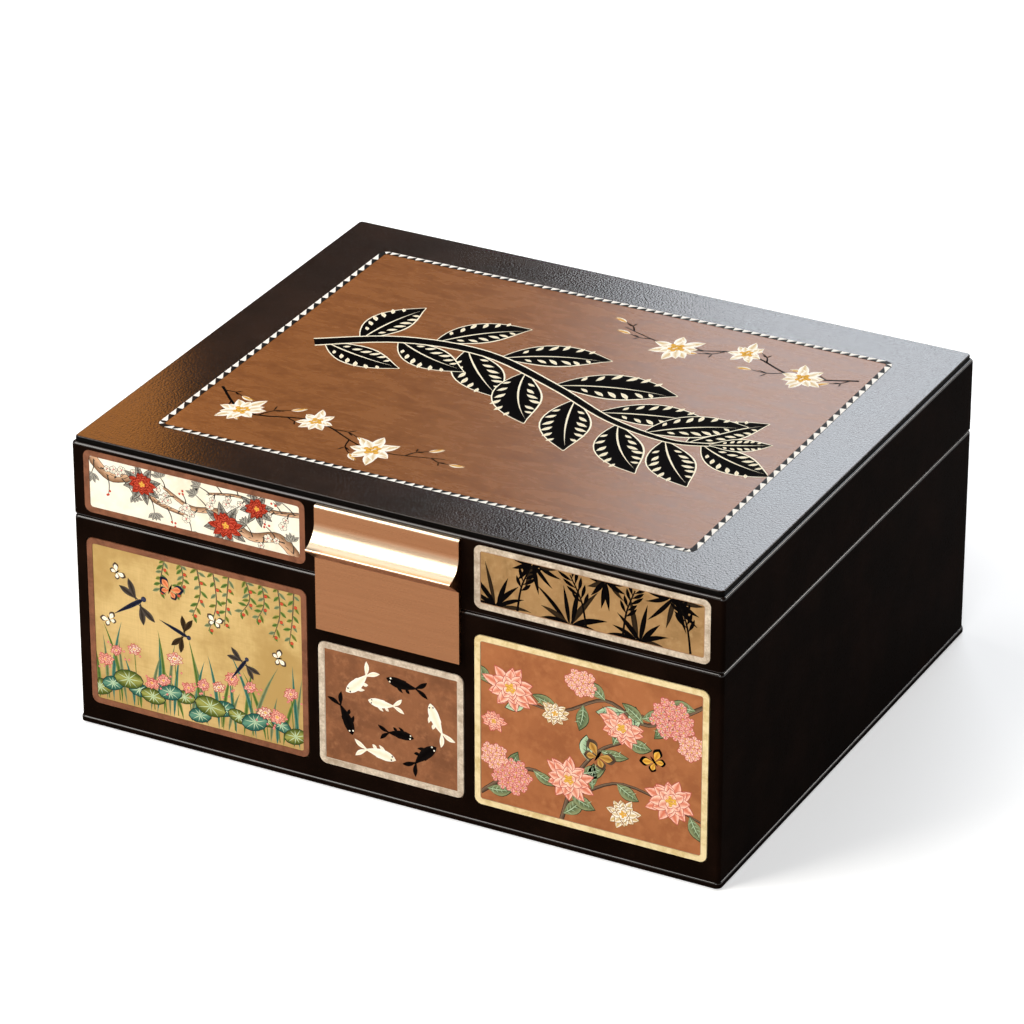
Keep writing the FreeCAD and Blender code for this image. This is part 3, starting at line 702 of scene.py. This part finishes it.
def sprig(art, points, level, flowers, twigs, vary):
    """A fine dark branch with side twigs, buds and pale flowers of narrow pointed petals.
    A twig is its share along the branch, its side and its length; a flower the same, with its radius."""
    line = art.stem(points, 1.2, 0.5, "black", level, (0, 0.6))
    for share, side, reach in twigs:
        x, y, angle = along(line, share)
        lean = angle + side * vary(28, 52)
        curl = lean - side * degrees(0.5)
        mid = towards(x, y, lean, reach / 2)
        tip = towards(*mid, curl, reach / 2)
        art.stem([(x, y), mid, tip], 0.75, 0.4, "black", level + 1, (0, 0.6))
        for fork in (-40, 40):
            art.leaf(*mid, lean + fork, reach * 0.34, 0.7, "black", level + 1, (0, 0.4), steps=4)
        art.leaf(*tip, curl, 6.4, 2.4, "petal", level + 2, (0, 1), 0.1, 0.8)
        art.leaf(*tip, curl + 9, 6.4, 1, "amber", level + 3, (0, 1), 0.1, 0.8)
    for share, side, size in flowers:
        x, y, angle = along(line, share)
        turn = angle + side * 90
        for ring, (petals, reach, broad) in enumerate(((7, 1, 0.34), (6, 0.78, 0.3), (4, 0.5, 0.26))):
            for i in range(petals):
                lean = 360 * (i + 0.5 * ring) / petals + vary(-9, 9)
                foreshortened = 1 - 0.28 * abs(sin(radians(lean)))
                long = size * reach * vary(0.8, 1.05) * foreshortened
                art.leaf(x, y, turn + lean, long, size * broad, "petal", level + 4 + 7 * ring + i % 7,
                         (0.2 + 0.1 * ring, 1), vary(-0.3, 0.3), 1.15)
        art.stamens(x, y, turn, size * 0.1, size * 0.2, size * 0.075, level + 24, 1)


def top_picture():
    """A dark bough of spotted leaves across the middle, with pale sprigs in two corners."""
    vary = Random(7).uniform
    art = Print("top_panel", True)
    bough = [(-98, 2), (-68, 20), (-32, 24), (6, 10), (38, -6), (66, -12), (82, -8)]
    art.stem(bough, 7, 3, "cream", 20, (0.8, 1))
    line = art.stem(bough, 5.4, 1.8, "black", 24, (0, 0.4))
    count = 15
    for i in range(count):
        share = 0.03 + 0.93 * i / (count - 1)
        x, y, angle = along(line, share)
        side = 1 if i % 2 else -1
        length = vary(44, 52) * (1 - 0.4 * abs(share - 0.45))
        width = length * vary(0.4, 0.46)
        lean = angle + side * vary(48, 62)
        bold_leaf(art, x, y, lean, length, width, (i % 4) * 4, -side * vary(0.3, 0.6), vary)
    x, y, angle = along(line, 1)
    bold_leaf(art, x, y, angle + 4, 24, 10, 16, 0.1, vary)
    twigs = [(0.05, 1, 9), (0.14, -1, 11), (0.3, 1, 14), (0.4, -1, 9),
             (0.58, 1, 12), (0.66, -1, 12), (0.86, 1, 10), (0.94, -1, 9)]
    flowers = [(0.22, 1, 13), (0.5, -1, 11), (0.76, 1, 14)]
    sprig(art, [(-110, -50), (-90, -66), (-62, -60), (-32, -72), (-2, -66)], 0, flowers, twigs, vary)
    sprig(art, [(110, 70), (86, 62), (60, 72), (34, 64), (6, 72)], 0, flowers, twigs, vary)
    art.make("top_picture", "lid")


def outlined_stem(art, points, start, end, fill, level):
    """A stem with a fine dark line along both sides."""
    art.stem(points, start + 0.5, end + 0.4, "charcoal", level, (0, 0.2))
    return art.stem(points, start, end, fill, level + 1, (0.1, 1))


def small_blossom(art, x, y, size, level, turn):
    """Five round outlined petals."""
    for i in range(5):
        petal = towards(x, y, turn + 72 * i, size * 0.62)
        above = level + i % 3 * 2
        art.dot(*petal, size * 0.52 + 0.16, "charcoal", above, (0.1, 0.1), 0.9)
        art.dot(*petal, size * 0.52, "shell", above + 1, (0.6, 1), 0.9)
    art.dot(x, y, size * 0.25, "rose", level + 6)


def side_twig(art, x, y, lean, reach, kind, vary):
    """A fine twig with a fan of grey leaves, three berries or two blossoms, as its kind says."""
    level = 10
    end_x, end_y = towards(x, y, lean, reach)
    mid_x, mid_y = (x + end_x) / 2, (y + end_y) / 2
    art.stem([(x, y), (mid_x + 0.5, mid_y), (end_x, end_y)], 0.6, 0.3, "charcoal", level - 1)
    if kind == 0:
        for i, turn in enumerate((-60, -30, 0, 30, 60)):
            art.edged_leaf(end_x, end_y, lean + turn, vary(3, 4.4), 1.5, "charcoal", "ash",
                           level + i % 2 * 2, (0.2, 1), line_mm=0.25)
    elif kind == 2:
        for k in range(3):
            berry_x, berry_y = end_x + vary(-1.4, 1.4), end_y + vary(-1.2, 1.2)
            art.dot(berry_x, berry_y, 0.5, "red", level + k)
    else:
        small_blossom(art, end_x, end_y, vary(1.3, 1.7), level, vary(0, 72))
        small_blossom(art, mid_x, mid_y, 1.2, level, vary(0, 72))


def twig_picture():
    """Cream ground: knotted boughs from both ends, with fine side twigs and full red flowers."""
    vary = Random(11).uniform
    art = Print("lid_left_picture")
    w, h = art.half_w, art.half_h
    boughs = [
        ([(w, -h - 2), (w - 9, -5), (w - 22, -7), (w - 34, 0), (w - 48, -1), (w - 60, 5)], 5, 1),
        ([(-w, h + 1), (-w + 9, 4), (-w + 20, 5), (-w + 30, -2), (-w + 44, -5)], 4.4, 0.9),
        ([(w, h - 4), (w - 12, 6), (w - 26, 9), (w - 40, 7)], 1.8, 0.5),
    ]
    for n, (points, start, end) in enumerate(boughs):
        line = outlined_stem(art, points, start, end, "bark", 3 * n)
        for i in range(22):
            x, y, angle = along(line, (i + 0.5) / 22)
            y += vary(-0.3, 0.3) * start * (1 - 0.8 * i / 22)
            crack = angle + vary(-14, 14)
            art.leaf(x, y, crack, vary(1.6, 3.6), 0.32, "charcoal", 3 * n + 2, (0.2, 0.2), 0.3, steps=4)
        for i in range(13):
            x, y, angle = along(line, 0.08 + 0.9 * i / 12)
            side = 1 if i % 2 else -1
            reach = vary(4.5, 8.5)
            side_twig(art, x, y, angle + side * vary(30, 65), reach, i % 4, vary)
    for x, y, radius in ((14, -5, 7.4), (28, 5.5, 5.6), (-23, 4, 6.4)):
        for k in range(8):
            art.veined_leaf(x, y, 45 * k + 15, radius * 1.3, radius * 0.46, "charcoal", "ash", "charcoal",
                            16 + k % 2 * 3)
        art.full_flower(x, y, radius, "scarlet", "red", 22, vary(0, 40), vary)
    art.make("lid_left_print", "lid")


def grass_picture():
    """Khaki ground: dark tufts of long arching blades, from the lower edge and from the upper one."""
    vary = Random(23).uniform
    art = Print("lid_right_picture")
    h = art.half_h
    tufts = [(-40, -1, 19), (-24, 1, 15), (-9, -1, 21), (6, 1, 13), (20, -1, 18), (34, 1, 18)]
    for n, (x, up, reach) in enumerate(tufts):
        y = up * (h + 0.5)
        heading = -90 * up
        for k in range(8):
            spread = (k - 3.5) * 20 + vary(-5, 5)
            long = reach * vary(0.8, 1.15) * (1 - 0.02 * abs(spread) / 4)
            root = x + vary(-1, 1)
            colour = "black" if (k + n) % 4 else "soot"
            art.leaf(root, y, heading + spread, long, vary(1.7, 2.5), colour, (k + n) % 6,
                     (0.3, 0), radians(spread) * 0.5, 0.85)
    for x, lean in ((-31, 6), (-2, -7), (13, 5), (41, -5)):
        line = art.stem([(x, -h), (x + lean * 0.3, 0), (x + lean, h - 1)], 1, 0.5, "black", 8)
        for k in range(9):
            px, py, angle = along(line, 0.42 + 0.06 * k)
            side = 1 if k % 2 else -1
            art.leaf(px, py, angle + side * 46, vary(5, 7.5), 1.5, "black", 9 + k % 2, (0.3, 0),
                     -side * 0.3, 1.2, 6)
    inner_line(art, "bark")
    art.make("lid_right_print", "lid")


def dragonfly(art, x, y, angle, size, level, wing):
    """Seen from above: a long body and two pairs of narrow wings."""
    art.leaf(x, y, angle, size, size * 0.12, "indigo", level + 2, (0, 0.5), blunt=0.6)
    for side in (-1, 1):
        for k, lean in enumerate((62, 104)):
            root = towards(x, y, angle, size * (0.12 + 0.1 * k))
            art.leaf(*root, angle + side * lean, size * 0.62, size * 0.17, wing, level + k,
                     (0.1, 0.9), blunt=1.5)
    art.dot(x, y, size * 0.07, "indigo", level + 3)


def moth(art, x, y, angle, size, level, wing, edge):
    """Seen from above: two pairs of edged wings on a dark body."""
    for side in (-1, 1):
        for lean, length, width in ((52, 1, 0.62), (118, 0.72, 0.5)):
            turn, long, broad = angle + side * lean, size * length, size * width
            art.leaf(x, y, turn, long, broad, edge, level, (0, 0.4), side * 0.2, 1.7)
            art.leaf(x, y, turn, long * 0.8, broad * 0.66, wing, level + 1, (0.2, 1), side * 0.2, 1.7)
    tail = towards(x, y, angle, -size * 0.3)
    art.leaf(*tail, angle, size * 0.75, size * 0.14, "black", level + 3, (0, 0.5))


def lily_pad(art, x, y, radius, colour, level, turn):
    """A broad leaf seen at a slant, with a dark rim and pale veins."""
    squash = 0.6
    art.dot(x, y, radius + 0.3, "indigo", level, (0.2, 0.2), squash, turn)
    art.dot(x, y, radius, colour, level + 1, (1, 0), squash, turn)
    for k in range(9):
        reach = radius * 0.86 * flattened(40 * k, squash)
        art.leaf(x, y, turn + 40 * k, reach, 0.4, "celadon", level + 2, (0.8, 0.5), blunt=0.6, steps=5)


def pond_picture():
    """Ochre silk: reeds, broad pads and low flowers along the edge, hanging vines and dark dragonflies."""
    vary = Random(31).uniform
    art = Print("drawer_left_picture")
    w, h = art.half_w, art.half_h
    for i in range(30):
        x = -w + 2 + i * (2 * w - 4) / 29 + vary(-1, 1)
        tall = 12 + 22 * abs(sin(i * 0.47 + 0.4)) + vary(0, 5)
        art.leaf(x, -h, 90 + vary(-10, 10), tall, 1.7, ("green", "sage", "teal")[i % 3], i % 4,
                 (0.1, 0.8), vary(-0.45, 0.45), 0.8)
    for i in range(15):
        x = -w + 1 + i * (2 * w - 4) / 14 + vary(-1.5, 1.5)
        y = -h + 3 + 6 * abs(sin(i * 0.9)) + vary(0, 3)
        radius = vary(4.6, 7.4)
        lily_pad(art, x, y, radius, "teal" if i % 2 else "fern", 5 + 3 * (i % 3), vary(-25, 25))
    for i in range(14):
        x = -w + 4 + i * (2 * w - 8) / 13 + vary(-2, 2)
        y = -h + vary(12, 27)
        art.stem([(x + 1, -h + 1), (x + 0.6, y * 0.5 - h * 0.5), (x, y)], 0.5, 0.35, "green", 4)
        art.full_flower(x, y, vary(2.6, 4), "rose", ("peach", "blush", "petal")[i % 3], 15,
                        vary(0, 45), vary)
        for k in range(5):
            art.dot(x + vary(-5, 5), y + vary(-6, 3), 0.5, "rose", 33 + k % 2)
    for i in range(9):
        x = w - 3 - 7.2 * i
        drop = 9 + 15 * abs(cos(i * 0.62)) + vary(-2, 2)
        bow = (x + vary(-2, 2), h - drop * 0.5)
        vine = art.stem([(x, h + 1), bow, (x - 2.5, h - drop)], 0.7, 0.3, "twig", 0)
        for k in range(12):
            px, py, angle = along(vine, 0.04 + 0.08 * k)
            side = 1 if k % 2 else -1
            art.leaf(px, py, angle + side * vary(35, 65), vary(2.8, 4.4), 1.6,
                     ("fern", "sage", "green")[k % 3], 1 + k % 3, (0.1, 0.9))
            if k % 4 == 3:
                art.dot(px + side, py - 0.8, 0.75, "red", 5)
    dragonfly(art, -24, 15, 215, 17, 36, "charcoal")
    dragonfly(art, -4, 3, 160, 14, 36, "soot")
    dragonfly(art, 22, 0, 235, 13, 36, "charcoal")
    for x, y, turn in ((-36, 24, 40), (-40, 2, 120), (8, 13, 80), (36, 4, 20)):
        moth(art, x, y, turn, 4.4, 40, "ivory", "twig")
    moth(art, -12, 22, 70, 6.5, 40, "coral", "indigo")
    art.make("drawer_left_print", "drawer_left")


def fish(art, x, y, angle, size, dark, level):
    """A plain fish seen from above: body, forked tail, four fins, and two eyes."""
    colour, spots = ("black", "ivory") if dark else ("ivory", "black")
    tones = (0.2, 0.8)
    back = angle + 180
    nose = towards(x, y, angle, size * 0.5)
    *end, turn = art.leaf(*nose, back, size * 0.84, size * 0.27, colour, level + 1, tones, 0.3, 0.72, 14)
    tail = towards(*end, turn, -size * 0.1)
    for side in (-1, 1):
        art.leaf(*tail, turn + side * 16, size * 0.42, size * 0.12, colour, level, tones, side * 0.5, 1.3)
        for share, reach in ((0.26, 0.3), (0.52, 0.18)):
            fin = towards(*nose, back, size * share)
            lean = back + side * 48
            art.leaf(*fin, lean, size * reach, size * 0.09, colour, level, tones, -side * 0.4, 1.2)
        eye = towards(*nose, back + side * 24, size * 0.12)
        art.dot(*eye, size * 0.022, spots, level + 2)


def fish_picture():
    """Brown ground: dark and pale fish that swim round each other."""
    art = Print("drawer_centre_picture")
    count = 6
    reach_x, reach_y = art.half_w - 9.5, art.half_h - 8
    for i in range(count):
        turn = radians(360 * i / count + 12)
        heading = degrees(atan2(reach_y * cos(turn), -reach_x * sin(turn)))
        fish(art, reach_x * cos(turn), reach_y * sin(turn), heading, 16.5, i % 2 == 1, 5 * i)
    fish(art, -3, 5, 172, 14, False, 32)
    fish(art, 3, -5, -8, 14, True, 38)
    inner_line(art, "shell")
    art.make("drawer_centre_print", "drawer_centre")


def inner_line(art, colour):
    """A fine line along the edge of a picture, over all that is printed near it."""
    w, h, half = art.half_w, art.half_h, 0.25
    corners = [(-w, -h), (w, -h), (w, h), (-w, h), (-w, -h)]
    for start, end in zip(corners, corners[1:]):
        side_x, side_y = (half, 0) if start[0] == end[0] else (0, half)
        rows = [[(x - side_x, y - side_y, 0.4), (x + side_x, y + side_y, 0.4)] for x, y in (start, end)]
        art.strip(rows, colour, 44)


def garden_picture():
    """Terracotta ground: peach flowers, heads of small florets and grey-green leaves, with two moths."""
    vary = Random(47).uniform
    art = Print("drawer_right_picture")
    w, h = art.half_w, art.half_h
    stems = [
        [(-w, -h + 3), (-26, -16), (-8, -22), (14, -12), (w, -20)],
        [(w, h - 5), (24, 16), (6, 22), (-16, 12), (-w, 18)],
        [(-12, -h), (-6, -14), (4, 0), (16, 8), (22, 20)],
    ]
    for n, points in enumerate(stems):
        line = outlined_stem(art, points, 1.5, 0.6, "twig", 2 * n)
        for i in range(9):
            px, py, angle = along(line, 0.05 + 0.9 * i / 8)
            side = 1 if i % 2 else -1
            lean = angle + side * vary(36, 70)
            art.veined_leaf(px, py, lean, vary(9, 12.5), vary(4.2, 5.6), "pine",
                            ("sage", "moss", "sage", "celadon")[i % 4], "celadon" if i % 4 < 3 else "pine",
                            6 + 3 * (i % 3), -side * 0.4)
    heads = [(-33, -21, 7.5), (-41, -14, 5), (34, 21, 8.5), (42, 11, 5), (-4, 27, 5.5)]
    for x, y, radius in heads:
        art.cluster(x, y, radius, "rose", "blush" if radius < 6 else "pink", 16, vary, round(radius * 3.4))
    flowers = [(-9, -16, 11), (14, -25, 8), (34, -14, 11.5), (-34, 17, 11.5), (-15, 11, 6.5),
               (13, 12, 10), (-41, 1, 5.5)]
    for i, (x, y, radius) in enumerate(flowers):
        rim, colour = ("ochre", "petal") if i % 3 == 1 else ("rose", "peach")
        turn = vary(-30, 30)
        art.full_flower(x, y, radius, rim, colour, 32, turn, vary, vary(0.62, 0.9))
    moth(art, 3, -3, 60, 8, 52, "ochre", "twig")
    moth(art, 27, 1, 130, 6.5, 52, "amber", "black")
    inner_line(art, "bark")
    art.make("drawer_right_print", "drawer_right")


# Banding round the top panel. A tooth is shares of its pitch, each with its height as a share of the width

BANDING_MM = 2.3
BANDING_CORNER_MM = 4
TOOTH = ((0, 0.04), (0.3, 0.4), (0.58, 0.82), (0.72, 1), (0.86, 1), (0.9, 0.04))
CORNER_TOOTH = ((0.04, 0.04), (0.35, 0.36), (0.65, 0.72), (0.84, 0.98), (0.92, 0.04))


def straight_teeth(art, turn, half, out, pitch):
    """Teeth along one side, half its length either way, at a distance out from the middle."""
    room = half - BANDING_CORNER_MM
    count = round(2 * room / pitch)
    step = 2 * room / count
    c, s = cos(radians(turn)), sin(radians(turn))
    outer = -out + 0.05
    for i in range(count):
        rows = []
        for share, height in TOOTH:
            u = -room + (i + share) * step
            inner = outer + BANDING_MM * height
            rows.append([(u * c - v * s, u * s + v * c, tone) for v, tone in ((outer, 0.9), (inner, 0.7))])
        art.strip(rows, "bone", 0)


def corner_tooth(art, x_side, y_side, start):
    """One tooth over the first half of a rounded corner."""
    middle = (x_side * (art.half_w - BANDING_CORNER_MM), y_side * (art.half_h - BANDING_CORNER_MM))
    outer = BANDING_CORNER_MM - 0.05
    rows = []
    for share, height in CORNER_TOOTH:
        radii = (outer, outer - BANDING_MM * height)
        rows.append([(*towards(*middle, start + 45 * share, radius), 0.9) for radius in radii])
    art.strip(rows, "bone", 0)


def banding_teeth():
    """Pale saw teeth along the outer side of the dark banding, a little coarser down the sides."""
    art = Print("top_banding", True)
    across, down = (art.half_w, art.half_h, 3.95), (art.half_h, art.half_w, 5.95)
    for turn, side in ((0, across), (90, down), (180, across), (270, down)):
        straight_teeth(art, turn, *side)
    for x_side, y_side, start in ((1, -1, -90), (1, 1, 0), (-1, 1, 90), (-1, -1, 180)):
        corner_tooth(art, x_side, y_side, start)
    art.make("banding_teeth", "lid")


# Soft pieces

ROLL_PITCH_MM = 18.3
ROLL_WIDTH_MM = 17.4


def ring_cushions():
    """The padded rolls, each a crowned velvet form with drawn-in ends and sides."""
    low, high = (Vector(corner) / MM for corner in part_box("ring_rolls"))
    count = round((high.y - low.y) / ROLL_PITCH_MM)
    for i in range(count):
        middle = (low.y + high.y) / 2 + (i - (count - 1) / 2) * ROLL_PITCH_MM
        mesh = roll_mesh(low, high, middle)
        piece = place("ring_roll_%d" % (i + 1), mesh, "base")
        for face in mesh.polygons:
            face.use_smooth = True
        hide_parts("ring_rolls")


def roll_mesh(low, high, y):
    """A bolster that narrows and sinks a little towards both ends, with a flat foot and a crowned top."""
    rings, around = 28, 28
    drawn, ripple = 0.3, 0.012
    square, crown = 0.62, 0.92
    points, faces = [], []
    tall = high.z - low.z
    for i in range(rings + 1):
        share = i / rings
        from_end = min(min(share, 1 - share) * rings / 3, 1)
        draw = 1 - drawn * (1 - from_end) ** 2 - ripple * sin(share * 40)
        x = low.x + (high.x - low.x) * share
        for k in range(around):
            angle = 2 * pi * k / around
            c, s = cos(angle), sin(angle)
            wide = copysign(abs(c) ** square, c)
            up = copysign(abs(s) ** (square if s < 0 else crown), s)
            z = low.z + tall / 2 + tall / 2 * up * draw
            points.append(Vector((x, y + ROLL_WIDTH_MM / 2 * wide * draw, z)) * MM)
    for i in range(rings):
        for k in range(around):
            a, b = i * around + k, i * around + (k + 1) % around
            faces.append((a, b, b + around, a + around))
    faces.append(tuple(range(around)))
    faces.append(tuple(range(rings * around, (rings + 1) * around)))
    return new_mesh("ring_roll", points, faces, FINISHES["velvet_brown"])


# Stage, light and camera


def floor():
    """A pale ground, a hair under the box so that no face of the felt shares its plane."""
    finish = Finish("floor", 0.9, specular=0.1)
    finish.set("Base Color", shade((236, 236, 236)))
    plain = finish.shader.outputs[0]
    glow = finish.node("Emission", None, {"Color": (1, 1, 1), "Strength": 0.45})
    both = finish.node("AddShader", None, {0: plain, 1: glow.outputs[0]})
    finish.show(finish.node("MixShader", None, {0: finish.seen(), 1: plain, 2: both.outputs[0]}))
    half, z = 30, -0.05 * MM
    corners = [(-half, -half, z), (half, -half, z), (half, half, z), (-half, half, z)]
    add("floor", new_mesh("floor", corners, [(0, 1, 2, 3)], finish))


def world():
    """Dim plain light; the camera and reflections see a white band low down as well."""
    light = bpy.data.worlds.new("studio")
    bpy.context.scene.world = light
    light.use_nodes = True
    nodes = Nodes(light.node_tree)
    plain, low, high = 0.035, 0.12, 0.26
    height = nodes.axes(nodes.node("TexCoord").outputs["Generated"])[2]
    strength = nodes.seen() * (1 - height.above(low, high)) * (1 - plain) + plain
    background = light.node_tree.nodes["Background"].inputs
    nodes.feed(background["Color"], (1, 1, 1))
    nodes.feed(background["Strength"], strength)


def softbox(name, spot, aim, size, power, colour=(1, 1, 1)):
    """A lamp of a size in metres and a power in watts, at a spot and turned to its aim."""
    lamp = bpy.data.lights.new(name, "AREA")
    lamp.shape = "RECTANGLE"
    lamp.size, lamp.size_y = size
    lamp.energy = power
    lamp.color = colour
    piece = add(name, lamp)
    piece.location = spot
    piece.rotation_euler = (Vector(aim) - Vector(spot)).to_track_quat("-Z", "Y").to_euler()
    piece.visible_camera = False


def lights():
    softbox("sheen_back", (-0.05, 0.92, 0.66), (0.12, 0.02, 0.12), (0.7, 0.5), 6.3, (0.87, 0.93, 1))
    softbox("glow_left", (-0.27, 0.085, 0.237), (-0.14, -0.11, 0.12), (0.09, 0.09), 0.073, (1, 0.37, 0.08))
    softbox("edge_right", (0.81, 1.18, 0.72), (0.13, 0, 0.1), (0.35, 0.35), 3, (1, 0.95, 0.9))
    softbox("key_left", (-1.1, -1.3, 1.45), (0, 0, 0.06), (1, 1.9), 46, (1, 0.97, 0.92))
    softbox("overhead", (-0.56, 0.07, 1.2), (0, -0.1, 0.1), (0.5, 1.2), 3)
    softbox("front", (0.5, -1.8, 0.9), (0, 0, 0.06), (0.8, 0.5), 14)


def camera():
    """The place and lens that the photo's perspective gives."""
    azimuth, elevation = radians(27.61), radians(27.26)
    distance = 2.4463
    target = Vector((-120.3, 215.2, -52.8)) * MM
    focal_px, picture_px, sensor_mm = 5470.7, 1024, 36
    outward = Vector((sin(azimuth) * cos(elevation), -cos(azimuth) * cos(elevation), sin(elevation)))
    lens = bpy.data.cameras.new("camera")
    lens.sensor_width = sensor_mm
    lens.lens = sensor_mm * focal_px / picture_px
    lens.clip_end = 100
    piece = add("camera", lens)
    piece.location = target + outward * distance
    piece.rotation_euler = (-outward).to_track_quat("-Z", "Y").to_euler()
    bpy.context.scene.camera = piece


dress_nodes()
top_picture()
twig_picture()
grass_picture()
pond_picture()
fish_picture()
garden_picture()
banding_teeth()
ring_cushions()
floor()
world()
lights()
camera()
bpy.context.scene.view_settings.view_transform = "Standard"
